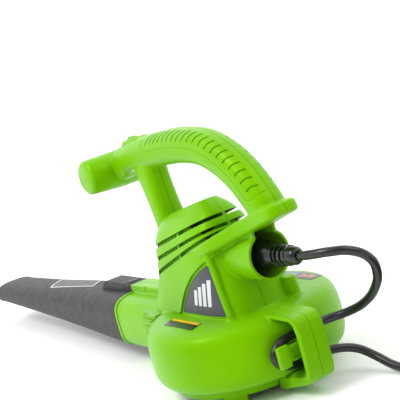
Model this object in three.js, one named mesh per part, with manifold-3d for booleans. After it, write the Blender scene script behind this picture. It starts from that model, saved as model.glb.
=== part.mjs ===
// Corded electric leaf blower, built in millimetres with +Z up.
// The fan turns about the Z axis, the blower tube points to -Y, and the left side faces +X.
import * as THREE from "three";
import { mergeVertices } from "three/addons/utils/BufferGeometryUtils.js";
import Module from "manifold-3d";

const wasm = await Module();
wasm.setup();

// Driving dimensions, in millimetres.
const WALL = 2.5;
const GAP = 0.3;
const RAIL_HOLLOW_HALF = 16.5;
const KNOB = { y: -180.5, z: 262.8, radius: 24.3, half: 50 };
const VOLUTE_BOTTOM = 20.6;
const DUCT = { half: 48, rise: 39.6, z: 62.7, mouth: -216, spigot: -242 };
const TUBE_TIP = -764;
const SHROUD = { z: 151.3, radius: 26.7, face: 105 };
const BRACKET_HALF = 17;
const BASE = { radius: 92, inner: 84, low: 3.5 };
const HUB_RADIUS = 15;
const FAN_RADIUS = 72;
const SHAFT_RADIUS = 4;
const CORD_RADIUS = 4.75;
const COIL = { x: -168, y: 300, z: 31.9, major: 85.5, minor: 30 };
const PLUG_Y = 164.5;

// Spiral of the fan casing: angle in degrees from +X toward +Y, and radius.
const SPIRAL = [
  [-30, 104], [0, 105.5], [45, 108], [88, 110.6], [115, 116.5], [140, 124], [170, 128.5],
  [200, 129.5], [225, 126], [250, 114], [275, 104], [330, 104],
];

const vec = (x, y, z) => new THREE.Vector3(x, y, z);
const X_AXIS = vec(1, 0, 0);
const Y_AXIS = vec(0, 1, 0);
const Z_AXIS = vec(0, 0, 1);

// ---- shape helpers ------------------------------------------------------------

// Closed loop of points on a rounded-rectangle curve in the plane of u and v.
function section(centre, u, v, a, b, power, count) {
  const loop = [];
  for (let i = 0; i < count; i += 1) {
    const t = ((i + 0.5) / count) * Math.PI * 2;
    const c = Math.cos(t);
    const s = Math.sin(t);
    const p = Math.sign(c) * Math.abs(c) ** (2 / power) * a;
    const q = Math.sign(s) * Math.abs(s) ** (2 / power) * b;
    loop.push(centre.clone().addScaledVector(u, p).addScaledVector(v, q));
  }
  return loop;
}

// Skin over a row of loops, closed by a fan at each end.
function loft(loops) {
  const count = loops[0].length;
  const points = loops.flat();
  const first = points.length;
  for (const loop of [loops[0], loops[loops.length - 1]]) {
    const middle = vec(0, 0, 0);
    for (const p of loop) middle.add(p);
    points.push(middle.divideScalar(count));
  }
  const faces = [];
  for (let k = 0; k < loops.length - 1; k += 1) {
    for (let i = 0; i < count; i += 1) {
      const j = (i + 1) % count;
      const a = k * count + i;
      const b = k * count + j;
      const c = (k + 1) * count + j;
      const d = (k + 1) * count + i;
      faces.push(a, b, c, a, c, d);
    }
  }
  const last = (loops.length - 1) * count;
  for (let i = 0; i < count; i += 1) {
    const j = (i + 1) % count;
    faces.push(first, j, i);
    faces.push(first + 1, last + i, last + j);
  }
  const geometry = new THREE.BufferGeometry();
  geometry.setFromPoints(points);
  geometry.setIndex(faces);
  return solid(geometry);
}

// Manifold solid from a closed three.js geometry, turned outward when it is inside out.
function solid(source) {
  const plain = new THREE.BufferGeometry();
  plain.setAttribute("position", source.getAttribute("position").clone());
  if (source.index) plain.setIndex(source.index.clone());
  const merged = mergeVertices(plain, 1e-4);
  const vertProperties = new Float32Array(merged.getAttribute("position").array);
  const triVerts = new Uint32Array(merged.index.array);
  let volume = 0;
  const p = [vec(0, 0, 0), vec(0, 0, 0), vec(0, 0, 0)];
  for (let i = 0; i < triVerts.length; i += 3) {
    for (let k = 0; k < 3; k += 1) p[k].fromArray(vertProperties, triVerts[i + k] * 3);
    volume += p[0].dot(p[1].clone().cross(p[2]));
  }
  if (volume < 0) {
    for (let i = 0; i < triVerts.length; i += 3) {
      const keep = triVerts[i];
      triVerts[i] = triVerts[i + 1];
      triVerts[i + 1] = keep;
    }
  }
  return new wasm.Manifold(new wasm.Mesh({ numProp: 3, vertProperties, triVerts }));
}

function join(...parts) {
  return parts.reduce((a, b) => a.add(b));
}

function cut(body, ...tools) {
  return tools.reduce((a, b) => a.subtract(b), body);
}

function block(x0, x1, y0, y1, z0, z1) {
  const g = new THREE.BoxGeometry(x1 - x0, y1 - y0, z1 - z0);
  g.translate((x0 + x1) / 2, (y0 + y1) / 2, (z0 + z1) / 2);
  return solid(g);
}

// Cylinder between two points; r1 is the radius at the far end.
function rod(from, to, r0, r1 = r0, sides = 24) {
  const axis = to.clone().sub(from);
  const g = new THREE.CylinderGeometry(r1, r0, axis.length(), sides);
  g.translate(0, axis.length() / 2, 0);
  g.applyQuaternion(new THREE.Quaternion().setFromUnitVectors(Y_AXIS, axis.normalize()));
  g.translate(from.x, from.y, from.z);
  return solid(g);
}

// Body of revolution about Z from a closed [radius, z] profile.
function turned(profile, sides = 32) {
  const outline = profile.map(([r, z]) => new THREE.Vector2(r, z));
  if (profile[0][0] > 0) outline.push(outline[0].clone());
  const g = new THREE.LatheGeometry(outline, sides);
  g.rotateX(Math.PI / 2);
  return solid(g);
}

// Plate drawn in the YZ plane and given thickness along X.
function sidePlate(outline, x0, x1) {
  const shape = new THREE.Shape(outline.map(([y, z]) => new THREE.Vector2(y, z)));
  const g = new THREE.ExtrudeGeometry(shape, { depth: x1 - x0, bevelEnabled: false });
  g.applyMatrix4(new THREE.Matrix4().makeBasis(Y_AXIS, Z_AXIS, X_AXIS));
  g.translate(x0, 0, 0);
  return solid(g);
}

// Round tube swept along a smooth line through the given points.
function tube(points, radius, steps, sides) {
  const path = new THREE.CatmullRomCurve3(points.map(([x, y, z]) => vec(x, y, z)), false, "centripetal");
  const shape = new THREE.Shape();
  for (let i = 0; i < sides; i += 1) {
    const t = (i / sides) * Math.PI * 2;
    if (i === 0) shape.moveTo(radius, 0);
    else shape.lineTo(radius * Math.cos(t), radius * Math.sin(t));
  }
  shape.closePath();
  return new THREE.ExtrudeGeometry(shape, { steps, extrudePath: path, bevelEnabled: false });
}

// ---- outer forms; inset > 0 gives the matching hollow ---------------------------

function handleForm(inset) {
  // y, z, direction across the grip (y, z), half height, half width
  const rows = [
    [-172, 262.8, 0, 1, 17, 17], [-154, 269.5, -0.1, 0.995, 20.4, 17.5], [-134, 274.2, 0, 1, 17.2, 17.8],
    [-110, 277, 0, 1, 19, 18.5], [-75, 278.6, 0, 1, 20, 19], [-40, 279.6, 0, 1, 20.3, 19],
    [-5, 279.2, 0.04, 0.999, 20.2, 19], [38.6, 272.8, 0.316, 0.949, 20.2, 19],
    [71.2, 257.6, 0.583, 0.813, 20.2, 19], [96.9, 236.7, 0.763, 0.646, 19.8, 19],
    [117.5, 209.4, 0.894, 0.447, 19.2, 19], [125.5, 193.4, 0.93, 0.37, 18.4, 18.6],
  ];
  const last = rows.length - 1;
  return loft(rows.map(([y, z, ny, nz, h, w], k) => {
    const pull = inset > 0 && k === last ? 3 : 0;
    const centre = vec(0, y - pull * nz, z + pull * ny);
    return section(centre, X_AXIS, vec(0, ny, nz), w - inset, h - inset, 2.5, inset > 2 ? 12 : 20);
  }));
}

function knobForm(inset) {
  const r = KNOB.radius - inset;
  const end = KNOB.half - inset;
  const rows = [
    [-end, r - 5.2], [-end + 2.8, r - 2.4], [-end * 0.5, r - 1], [0, r], [end * 0.5, r - 1], [end - 2.8, r - 2.4],
    [end, r - 5.2],
  ];
  const sides = inset > 2 ? 12 : 24;
  return loft(rows.map(([x, radius]) => section(vec(x, KNOB.y, KNOB.z), Y_AXIS, Z_AXIS, radius, radius, 2, sides)));
}

function strutForm(inset) {
  // y, z, half depth, half width
  const rows = [
    [-95, 274, 24, 16.5], [-94.5, 256, 20.5, 16.8], [-89.8, 232, 17.2, 17], [-82.8, 204, 15.6, 17.6],
    [-77.5, 184, 15.5, 19], [-72, 160, 15.5, 22],
  ];
  return loft(rows.map(([y, z, d, w]) => section(vec(0, y, z), X_AXIS, Y_AXIS, w - inset, d - inset, 3, inset > 2 ? 12 : 20)));
}

function towerForm(inset) {
  // front y, front z, rear y, rear z, half width, corner power
  const rows = [
    [-122, 70, 82, 70, 48, 4.5], [-116, 95, 74, 91, 46.8, 4.5], [-99, 117, 66.5, 121, 44.8, 4],
    [-88.5, 150, 56.5, 152, 42.3, 4], [-87, 164, 50.5, 174, 40.5, 3.8], [-85, 176, 46, 186, 37.6, 3.6],
    [-80, 187, 41, 197, 32.5, 3.4], [-71, 195.5, 33, 207, 26, 3.2], [-61, 200, 19, 216.4, 18, 3],
  ];
  return loft(rows.map(([yf, zf, yr, zr, w, power], k) => {
    const along = vec(0, yr - yf, zr - zf);
    const half = along.length() / 2;
    const drop = inset > 0 && k === rows.length - 1 ? inset : 0;
    const centre = vec(0, (yf + yr) / 2, (zf + zr) / 2 - drop);
    return section(centre, X_AXIS, along.normalize(), w - inset, half - inset, power, inset > 2 ? 16 : 28);
  }));
}

function spiralRadius(degrees) {
  let a = degrees;
  while (a > 330) a -= 360;
  while (a < -30) a += 360;
  for (let k = 0; k < SPIRAL.length - 1; k += 1) {
    const [a0, r0] = SPIRAL[k];
    const [a1, r1] = SPIRAL[k + 1];
    if (a >= a0 && a <= a1) {
      const t = (a - a0) / (a1 - a0);
      return r0 + (r1 - r0) * t;
    }
  }
  return SPIRAL[0][1];
}

function voluteForm(inset) {
  // z and how far the wall stands inside the spiral
  const rows = [
    [VOLUTE_BOTTOM, 10], [24, 5], [33, 1], [50, 0], [66, 0.5], [77, 3], [84.5, 8], [88.5, 17], [90.5, 34],
  ];
  return loft(rows.map(([z, step], k) => {
    const loop = [];
    const lift = inset > 0 && k === 0 ? inset : 0;
    const drop = inset > 0 && k > 4 ? inset : 0;
    const count = inset > 2 ? 24 : 48;
    for (let i = 0; i < count; i += 1) {
      const degrees = -30 + (i * 360) / count;
      const t = THREE.MathUtils.degToRad(degrees);
      const r = spiralRadius(degrees) - step - inset;
      loop.push(vec(r * Math.cos(t), r * Math.sin(t), z + lift - drop));
    }
    return loop;
  }));
}

function ductForm(inset, from, to) {
  const rows = [from, from + (to - from) * 0.5, to];
  return loft(rows.map((y) => section(vec(0, y, DUCT.z), X_AXIS, Z_AXIS, DUCT.half - inset, DUCT.rise - inset, 4, 24)));
}

// Rail under the grip: wide where it leaves the tower, narrow and rounded at the rear flange.
const RAIL_SLOPE = vec(0, -0.318, 0.948);
const railRows = [
  [20, 160.5, 42.5, 8], [48, 170.5, 40.5, 8.2], [70, 178, 31.5, 8.4], [90, 185, 24.5, 8.6], [110, 191, 21.2, 8.6],
  [130, 196.8, 20.2, 8.2], [143, 200.4, 19.3, 7.6], [149, 202, 16.5, 6.6], [152, 202.8, 11, 4.5],
];
const railHollow = [[30, 168], [46, 175.5], [104, 194], [134, 201], [139, 198], [106, 184.5], [52, 168.5], [36, 164]];

// Sloping side band that runs from the rail down over the tower.
const bandOutline = [
  [60, 176], [48, 178], [20, 165], [-20, 150], [-60, 138], [-78, 118], [-70, 96], [-30, 92], [-22, 104],
  [-8, 122], [12, 139], [36, 153], [62, 163],
];

// Cooling slots through the tower walls, [y, z] corners.
const slotOutlines = [
  [[-62, 167.6], [29.5, 193.4], [28, 199.2], [-60.5, 173.4]],
  [[-69, 150.2], [32, 178.7], [30.5, 184.5], [-67.5, 156]],
  [[-74, 133], [29.5, 170], [28, 176], [-72.5, 139]],
];

const badgeOutline = [[46.5, 152], [61.5, 93.5], [-25.5, 93.5], [-16, 107], [-2, 123], [14, 136], [30, 145.5]];
const badgePocket = [[47, 153.2], [63, 92.9], [-27, 92.9], [-16.6, 107.4], [-2.4, 123.5], [13.8, 136.7], [30, 146.3]];

const bracketOutline = [
  [68, 90.5], [128, 89.4], [136.5, 87.4], [141, 81.5], [143.2, 70], [143.4, 28], [141.8, 21.5], [137.5, 17.4],
  [96, 5.4], [84, 4.2], [84, 21], [70, 30],
];
const windowOutline = [
  [104, 82.3], [127, 82], [131.5, 79], [133.6, 70], [134, 33], [132, 29.2], [128, 27.4], [104, 22.5],
];

// Screw posts across the two shells, [y, z, outer radius].
const posts = [
  [-40, 279.5, 4.6], [88, 244.5, 4.6], [-94, 222, 4.6], [-76, 138, 4.6], [44.5, 175.5, 4.6],
  [-186.5, 14.6, 7.4], [-104.5, 14.6, 7.4], [138.6, 50, 0],
];
const screwHeadX = [-15.5, -15.5, -13, -37.5, -34, -6, -6, -13.5];

// ---- the two shells --------------------------------------------------------------

const roof = cut(towerForm(0), block(-60, 60, -130, 90, 60, 71));
const outer = join(
  handleForm(0), knobForm(0), strutForm(0), roof, voluteForm(0), ductForm(0, DUCT.mouth, -60),
);
const rail = loft(railRows.map(([y, z, w, h]) => section(vec(0, y, z), X_AXIS, RAIL_SLOPE, w, h, 3.2, 20)));
const band = towerForm(-1.6).intersect(sidePlate(bandOutline, -60, 60));
const shroud = rod(vec(0, 40, SHROUD.z), vec(0, SHROUD.face, SHROUD.z), SHROUD.radius, SHROUD.radius, 36);
const pad = sidePlate(
  [[-137, 285], [-136.5, 292.5], [-132, 296.6], [-101, 299.6], [-96, 297.5], [-96, 285]], -10.5, 10.5,
);
const spigot = ductForm(3, DUCT.spigot, DUCT.mouth + 8);
const neckSkin = sidePlate([[45, 158], [SHROUD.face, 158], [SHROUD.face, 184], [45, 168]], -15.5, 15.5);
const cornerBoss = rod(vec(-41, 67, 84), vec(-41, 69, 112), 12, 8.5, 20);
const finSet = [];
for (let k = 0; k < 6; k += 1) {
  const z = 34 + k * 10;
  finSet.push(block(-60, 60, -110, -84, z, z + 1.8));
  finSet.push(block(-52, 52, -139, -109, z, z + 1.8));
}
const skin = join(outer, rail, band, shroud, neckSkin, pad, spigot, cornerBoss, ...finSet);

const hollow = join(
  handleForm(WALL), knobForm(WALL), strutForm(WALL), towerForm(WALL), voluteForm(WALL),
  ductForm(5.4, DUCT.spigot - 2, DUCT.mouth + 4), ductForm(WALL + 0.4, DUCT.mouth + 3, -62),
  sidePlate(railHollow, -RAIL_HOLLOW_HALF, RAIL_HOLLOW_HALF),
);
const neckBore = sidePlate([[66, 160], [106.5, 160], [106.5, 181], [90, 176], [66, 168]], -12.8, 12.8);
const inletBore = rod(vec(0, 62, SHROUD.z), vec(0, SHROUD.face + 1, SHROUD.z), 24.2, 24.2, 36);
const inletSeat = rod(vec(0, 44, SHROUD.z), vec(0, 63, SHROUD.z), 18.3, 18.3, 36);
const eye = rod(vec(0, 0, VOLUTE_BOTTOM - 2), vec(0, 0, VOLUTE_BOTTOM + 6), 84, 84, 48);
const switchWell = block(-5.3, 5.3, -131, -105, 280, 302);
const latchWell = block(-9.8, 9.8, -236.4, -223.6, 92, 104);
const slots = join(...slotOutlines.map((o) => sidePlate(o, -60, 60)));
const badgeBed = cut(sidePlate(badgePocket, -60, 60), towerForm(0.9));

const bracket = cut(sidePlate(bracketOutline, -BRACKET_HALF, BRACKET_HALF), voluteForm(1), towerForm(1));
const window = cut(sidePlate(windowOutline, -30, 30), voluteForm(0));
const hookStem = cut(block(-8, 18.5, 100, 123, 43.5, 59), voluteForm(1));
const hookHead = block(-14, 33, 122.2, 127.6, 39.5, 62);

const lugs = join(
  rod(vec(-6, -186.5, 14.6), vec(6, -186.5, 14.6), 7.4), block(-6, 6, -193.9, -179.1, 14.6, 26),
  rod(vec(-6, -104.5, 14.6), vec(6, -104.5, 14.6), 7.4), block(-6, 6, -111.9, -97.1, 14.6, 27),
);
const ductHollow = ductForm(WALL + 0.4, DUCT.mouth + 3, -62);

const innerPosts = posts.filter((p) => p[2] === 4.6)
  .map(([y, z, r]) => rod(vec(-60, y, z), vec(60, y, z), r, r, 16));
const postsInside = join(...innerPosts).intersect(skin);

let shell = cut(skin, hollow, inletBore, neckBore, inletSeat, eye);
shell = join(shell, postsInside);
shell = cut(shell, badgeBed, slots, switchWell, latchWell);
shell = join(shell, cut(bracket, window), hookStem, hookHead);
shell = join(shell, cut(lugs, ductHollow, voluteForm(WALL)));

// A screw passes through the right shell and bites in the left one.
posts.forEach(([y, z], k) => {
  const head = screwHeadX[k];
  shell = cut(
    shell,
    rod(vec(-70, y, z), vec(head, y, z), 3.7, 3.7, 16),
    rod(vec(head - 1, y, z), vec(head + 19, y, z), 2.1, 2.1, 12),
  );
});

const leftShell = shell.intersect(block(GAP / 2, 160, -320, 200, -10, 330));
const rightShell = shell.intersect(block(-160, -GAP / 2, -320, 200, -10, 330));

// ---- blower tube -------------------------------------------------------------------

function tubeForm(inset, extra) {
  // y, centre z, half width, half height, corner power
  const rows = [
    [DUCT.mouth - GAP + extra, 62, 48.6, 41, 4], [-300, 61.6, 46.8, 40.4, 4], [-316, 57, 44.6, 35.8, 3.6],
    [-335, 55.8, 43.4, 33.8, 3.2], [-410, 55.1, 41.4, 31.2, 2.9], [-560, 54.8, 39.4, 25.2, 2.7],
    [-700, 54.8, 38.3, 20.2, 2.7], [TUBE_TIP - extra, 54.8, 38, 17.9, 2.8],
  ];
  return loft(rows.map(([y, z, w, h, power]) => (
    section(vec(0, y, z), X_AXIS, Z_AXIS, w - inset, h - inset, power, 24)
  )));
}
const tubeSocket = ductForm(2.7, DUCT.spigot - 1, DUCT.mouth + 2);
const latchSlot = block(-12.5, 12.5, -236, -224, 90, 106);
const blowerTube = cut(tubeForm(0, 0), tubeForm(2.4, 1).intersect(block(-80, 80, -800, DUCT.spigot - 1, 0, 120)),
  tubeSocket, latchSlot);

// Spring-loaded catch that rises through the spigot into the slot of the tube.
const latch = join(
  block(-9, 9, -235.5, -224.5, 94, 104.5),
  block(-9, 9, -235.5, -208, 94, 96.4),
);

// ---- intake base ---------------------------------------------------------------------

const ringWall = turned([
  [BASE.inner, BASE.low], [BASE.radius - 2, BASE.low], [BASE.radius, BASE.low + 2],
  [BASE.radius, VOLUTE_BOTTOM - GAP], [BASE.inner, VOLUTE_BOTTOM - GAP],
], 36);
const grilleRings = [34, 60].map((r) => turned([[r - 1.6, 4], [r + 1.6, 4], [r + 1.6, 9], [r - 1.6, 9]], 24));
const spokes = [];
for (let k = 0; k < 12; k += 1) {
  const spoke = new THREE.BoxGeometry(76, 2.6, 5);
  spoke.translate(48, 0, 6.5);
  spoke.rotateZ((k * Math.PI) / 6 + Math.PI / 12);
  spokes.push(solid(spoke));
}
const feet = [];
for (let k = 0; k < 4; k += 1) {
  const foot = new THREE.BoxGeometry(9, 34, 6);
  foot.translate(85.6, 0, 3);
  foot.rotateZ((k * Math.PI) / 2 + Math.PI / 4);
  feet.push(solid(foot));
}
const hub = rod(vec(0, 0, 0), vec(0, 0, 10), HUB_RADIUS, HUB_RADIUS, 32);
const bracketRoom = sidePlate([[70, -5], [150, -5], [150, 24], [83.5, 24], [83.5, 3], [70, 3]], -17.4, 17.4);
const intakeBase = cut(join(ringWall, ...grilleRings, ...spokes, ...feet, hub), bracketRoom);

// ---- fan and motor ---------------------------------------------------------------------

const bladeSet = [];
for (let k = 0; k < 11; k += 1) {
  const blade = new THREE.BoxGeometry(38, 2.2, 29);
  blade.rotateZ(0.55);
  blade.translate(49, 6, 51.2);
  blade.rotateZ((k * 2 * Math.PI) / 11);
  bladeSet.push(solid(blade));
}
const impeller = cut(
  join(
    turned([[0, 64.5], [FAN_RADIUS, 64.5], [FAN_RADIUS, 67], [0, 67]], 44),
    turned([[0, 42], [13, 42], [16, 64.6], [16, 72], [0, 72]], 28),
    ...bladeSet,
  ),
  rod(vec(0, 0, 30), vec(0, 0, 80), SHAFT_RADIUS + GAP, SHAFT_RADIUS + GAP, 24),
);
const fanNut = cut(rod(vec(0, 0, 34.5), vec(0, 0, 41.6), 8, 8, 6), rod(vec(0, 0, 30), vec(0, 0, 50), 4.3));
const shaft = rod(vec(0, 0, 31), vec(0, 0, 171), SHAFT_RADIUS);
const ringBody = (r0, r1, z0, z1, sides = 28) => turned([[r0, z0], [r1, z0], [r1, z1], [r0, z1]], sides);
const lowerBearing = ringBody(4.3, 11, 81.6, 88.4);
const upperBearing = ringBody(4.3, 9, 161.5, 167.5);
const motorPlate = cut(
  join(
    turned([[6.4, 78.6], [84, 78.6], [84, 81.3], [16, 81.3], [16, 88.6], [11.3, 88.6], [11.3, 81.3], [6.4, 81.3]], 44),
  ),
  block(-4, 4, 40, 52, 70, 90),
);
const armatureSlots = [];
for (let k = 0; k < 12; k += 1) {
  const slot = new THREE.BoxGeometry(5, 2, 60);
  slot.translate(17, 0, 120);
  slot.rotateZ((k * Math.PI) / 6);
  armatureSlots.push(solid(slot));
}
const armatureCore = cut(ringBody(4.3, 17.5, 101, 139, 36), ...armatureSlots);
const windingProfile = (z0, z1) => [[7, z0], [14, z0], [16, (z0 + z1) / 2], [14, z1], [7, z1]];
const windingLow = turned(windingProfile(93, 100.7), 24);
const windingHigh = turned(windingProfile(139.3, 145), 24);
const commutator = ringBody(4.3, 11, 145.3, 157, 24);
const stator = cut(ringBody(19, 30.5, 100, 140, 36), block(-40, 40, -6, 6, 90, 104.5));
const fieldLow = ringBody(19.5, 27.5, 91.5, 99.7, 28);
const fieldHigh = ringBody(19.5, 27.5, 140.3, 147, 28);
const motorFrame = cut(
  join(
    block(-7, 7, -39, -31, 81.6, 168), block(-7, 7, 31, 39, 81.6, 168),
    block(-7, 7, -39, 39, 161.5, 168), rod(vec(0, 0, 161.5), vec(0, 0, 168), 12.5),
  ),
  rod(vec(0, 0, 150), vec(0, 0, 180), 9.3),
);
function brushHolder(side) {
  const box = side > 0 ? block(13.2, 32, -5.2, 5.2, 147.4, 157.2) : block(-32, -13.2, -5.2, 5.2, 147.4, 157.2);
  const bore = side > 0 ? block(10, 30, -3.3, 3.3, 149.2, 155.4) : block(-30, -10, -3.3, 3.3, 149.2, 155.4);
  return cut(box, bore);
}
const brush = (side) => (side > 0 ? block(11.3, 26, -3, 3, 149.5, 155.1) : block(-26, -11.3, -3, 3, 149.5, 155.1));

// ---- electrical parts --------------------------------------------------------------------

const inletInsert = join(
  rod(vec(0, 45, SHROUD.z), vec(0, 66, SHROUD.z), 18, 18, 32),
  rod(vec(0, 63.3, SHROUD.z), vec(0, 67, SHROUD.z), 23.9, 23.9, 32),
);
const pinSlots = (grow) => [
  block(-7.4 - grow, -5.9 + grow, 44, 84 + grow, SHROUD.z - 3.2 - grow, SHROUD.z + 3.2 + grow),
  block(5.9 - grow, 7.4 + grow, 44, 84 + grow, SHROUD.z - 3.2 - grow, SHROUD.z + 3.2 + grow),
];
const inletBody = cut(inletInsert, ...pinSlots(GAP).map((p) => p.intersect(block(-30, 30, 47.7, 90, 100, 200))));
const blades = pinSlots(0).map((p) => p.intersect(block(-30, 30, 48, 84, 100, 200)));

const switchBody = block(-8, 8, -134, -103, 268, 286.5);
const switchButton = join(block(-4.8, 4.8, -130, -113, 286.8, 299), block(-4.8, 4.8, -126, -117, 298, 301.2));

// ---- connector, cord, coil and plug ---------------------------------------------------------

const connectorRows = [
  [67.3, 14.5, 14], [70, 15.6, 15.2], [98, 15.8, 15.4], [112, 12.8, 12.5], [120, 11, 11], [140, 10.6, 10.6],
  [150, 10, 10], [154, 6.5, 6.5],
];
const connector = cut(
  loft(connectorRows.map(([y, a, b]) => section(vec(0, y, SHROUD.z), X_AXIS, Z_AXIS, a, b, 2.2, 24))),
  ...pinSlots(GAP),
);

const CORD_RUN = [
  [0, 154.6, 151.3], [-1, 170, 152.6], [-8, 188, 153.6], [-24, 202, 150], [-40, 207, 138], [-52, 200, 119],
  [-58, 185, 99], [-59, 164, 82], [-55, 142, 71.5], [-43, 125, 67], [-24, 118, 66.2],
  [-4, 117, 66], [14, 116.9, 65.6], [28, 116.8, 62], [35, 116.6, 52], [29, 116.8, 41], [15, 116.9, 36.4],
  [-4, 117, 34.8], [-24, 118.2, 33.6], [-44, 121.5, 31], [-61, 131, 25], [-69, 148, 15.5], [-71, 168, 8],
  [-73, 188, 5.2], [-70, 215, 5], [-65, 245, 5], [-60, 280, 5], [-61.2, 312, 5],
];
const END_RUN = [
  [-141.9, 196.7, 5], [-139.4, 184, 5], [-145.5, 172.5, 5], [-159, 166.5, 5], [-180, 164.8, 5.5],
  [-199.7, PLUG_Y, 7],
];

function ringAt(minor, arc) {
  const loop = [];
  for (let i = 0; i <= 12; i += 1) {
    const t = (i / 12) * Math.PI * 2;
    loop.push(new THREE.Vector2(COIL.major + minor * Math.cos(t), minor * Math.sin(t)));
  }
  loop[12].copy(loop[0]);
  const g = new THREE.LatheGeometry(loop, arc);
  g.rotateX(Math.PI / 2);
  g.translate(COIL.x, COIL.y, COIL.z);
  return solid(g);
}
const coil = ringAt(COIL.minor, 30);
const tieWedge = block(COIL.x - 8, COIL.x + 8, COIL.y - 140, COIL.y - 40, 0, 80);
const coilTie = cut(ringAt(COIL.minor + 1.8, 60).intersect(tieWedge), ringAt(COIL.minor + 0.5, 60));

const plugRows = [[-200, 7, 7], [-218, 9, 8], [-226, 13, 10.5], [-230, 15, 12.5], [-252, 15.5, 13], [-254, 14, 11.5]];
const plugPin = (grow) => [
  block(-270 - grow, -242 + grow, PLUG_Y - 6.8 - grow, PLUG_Y - 5.2 + grow, 9.8 - grow, 16.2 + grow),
  block(-270 - grow, -242 + grow, PLUG_Y + 5.2 - grow, PLUG_Y + 6.8 + grow, 9.8 - grow, 16.2 + grow),
  rod(vec(-272 - grow, PLUG_Y, 21), vec(-242 + grow, PLUG_Y, 21), 2.3 + grow, 2.3 + grow, 12),
];
const plugBody = cut(
  loft(plugRows.map(([x, a, b]) => section(vec(x, PLUG_Y, 13.2), Y_AXIS, Z_AXIS, a, b, 2.6, 20))),
  ...plugPin(GAP),
);
const plugPins = plugPin(0);

export default (function build() {
  const group = new THREE.Group();
  group.name = "leaf_blower";
  const paint = (colour, roughness, metalness = 0) => ({ color: colour, roughness, metalness });
  const GREEN = paint("#6cc215", 0.42);
  const CHARCOAL = paint("#3a3839", 0.62);
  const BLACK = paint("#17171a", 0.45);
  const SLATE = paint("#3f4048", 0.5);
  const STEEL = paint("#a9adb0", 0.35, 1);
  const BRASS = paint("#c9a24c", 0.3, 1);
  const COPPER = paint("#b5652f", 0.4, 1);
  const IRON = paint("#6d7074", 0.55, 1);
  const PHENOLIC = paint("#2b2522", 0.6);
  const GRAPHITE = paint("#26272a", 0.7);

  function geometryOf(body) {
    if (body instanceof THREE.BufferGeometry) {
      const plain = new THREE.BufferGeometry();
      plain.setAttribute("position", body.getAttribute("position").clone());
      if (body.index) plain.setIndex(body.index.clone());
      return mergeVertices(plain, 1e-4);
    }
    const data = body.getMesh();
    const g = new THREE.BufferGeometry();
    g.setAttribute("position", new THREE.BufferAttribute(new Float32Array(data.vertProperties), 3));
    g.setIndex(new THREE.BufferAttribute(new Uint32Array(data.triVerts), 1));
    return g;
  }
  function place(name, body, look) {
    const g = geometryOf(body);
    g.computeVertexNormals();
    const mesh = new THREE.Mesh(g, new THREE.MeshStandardMaterial(look));
    mesh.name = name;
    group.add(mesh);
  }

  place("left_housing", leftShell, GREEN);
  place("right_housing", rightShell, GREEN);
  place("intake_base", intakeBase, GREEN);
  place("blower_tube", blowerTube, CHARCOAL);
  place("tube_latch", latch, BLACK);

  place("impeller", impeller, BLACK);
  place("impeller_nut", fanNut, STEEL);
  place("motor_shaft", shaft, STEEL);
  place("lower_bearing", lowerBearing, STEEL);
  place("upper_bearing", upperBearing, STEEL);
  place("motor_plate", motorPlate, BLACK);
  place("motor_frame", motorFrame, IRON);
  place("armature_core", armatureCore, IRON);
  place("armature_winding_lower", windingLow, COPPER);
  place("armature_winding_upper", windingHigh, COPPER);
  place("commutator", commutator, COPPER);
  place("stator_core", stator, IRON);
  place("field_winding_lower", fieldLow, COPPER);
  place("field_winding_upper", fieldHigh, COPPER);
  place("brush_holder_left", brushHolder(1), BRASS);
  place("brush_holder_right", brushHolder(-1), BRASS);
  place("brush_left", brush(1), GRAPHITE);
  place("brush_right", brush(-1), GRAPHITE);

  place("inlet_body", inletBody, PHENOLIC);
  place("inlet_blade_left", blades[1], BRASS);
  place("inlet_blade_right", blades[0], BRASS);
  place("switch_body", switchBody, PHENOLIC);
  place("switch_button", switchButton, BLACK);
  place("lead_to_switch", tube([[9, 42, 158], [9, 34, 172], [9, 10, 183], [9, -40, 181], [9, -68, 188],
    [9, -78, 216], [8.5, -88, 247], [7, -102, 260], [5, -112, 264]], 1.5, 24, 6), BLACK);
  place("lead_to_motor", tube([[-5, -110, 265], [-8, -100, 259], [-9, -88, 244], [-9, -78, 214],
    [-9.5, -66, 186], [-12, -46, 172], [-20, -18, 163], [-24, -6, 158.8]], 1.5, 22, 6), BLACK);

  posts.forEach(([y, z], k) => {
    const head = screwHeadX[k];
    place(`housing_screw_${k + 1}`, join(
      rod(vec(head - 2.6, y, z), vec(head - GAP, y, z), 3.3, 3.3, 14),
      rod(vec(head - 0.4, y, z), vec(head + 18, y, z), 1.8, 1.8, 10),
    ), STEEL);
  });

  const badgeSkin = cut(towerForm(-0.5), towerForm(0.6)).intersect(sidePlate(badgeOutline, -60, 60));
  place("badge_left", badgeSkin.intersect(block(0, 80, -60, 100, 60, 200)), SLATE);
  place("badge_right", badgeSkin.intersect(block(-80, 0, -60, 100, 60, 200)), SLATE);

  place("connector_body", connector, BLACK);
  place("cord_tube", tube(CORD_RUN, CORD_RADIUS, 72, 8), BLACK);
  place("cord_coil", coil, BLACK);
  place("cord_end", tube(END_RUN, CORD_RADIUS, 12, 8), BLACK);
  place("plug_body", plugBody, BLACK);
  plugPins.forEach((pin, k) => place(`plug_pin_${k + 1}`, pin, BRASS));
  place("coil_tie", coilTie, GRAPHITE);
  return group;
})();
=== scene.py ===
import math

import bmesh
import bpy
from mathutils import Matrix, Vector


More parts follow.
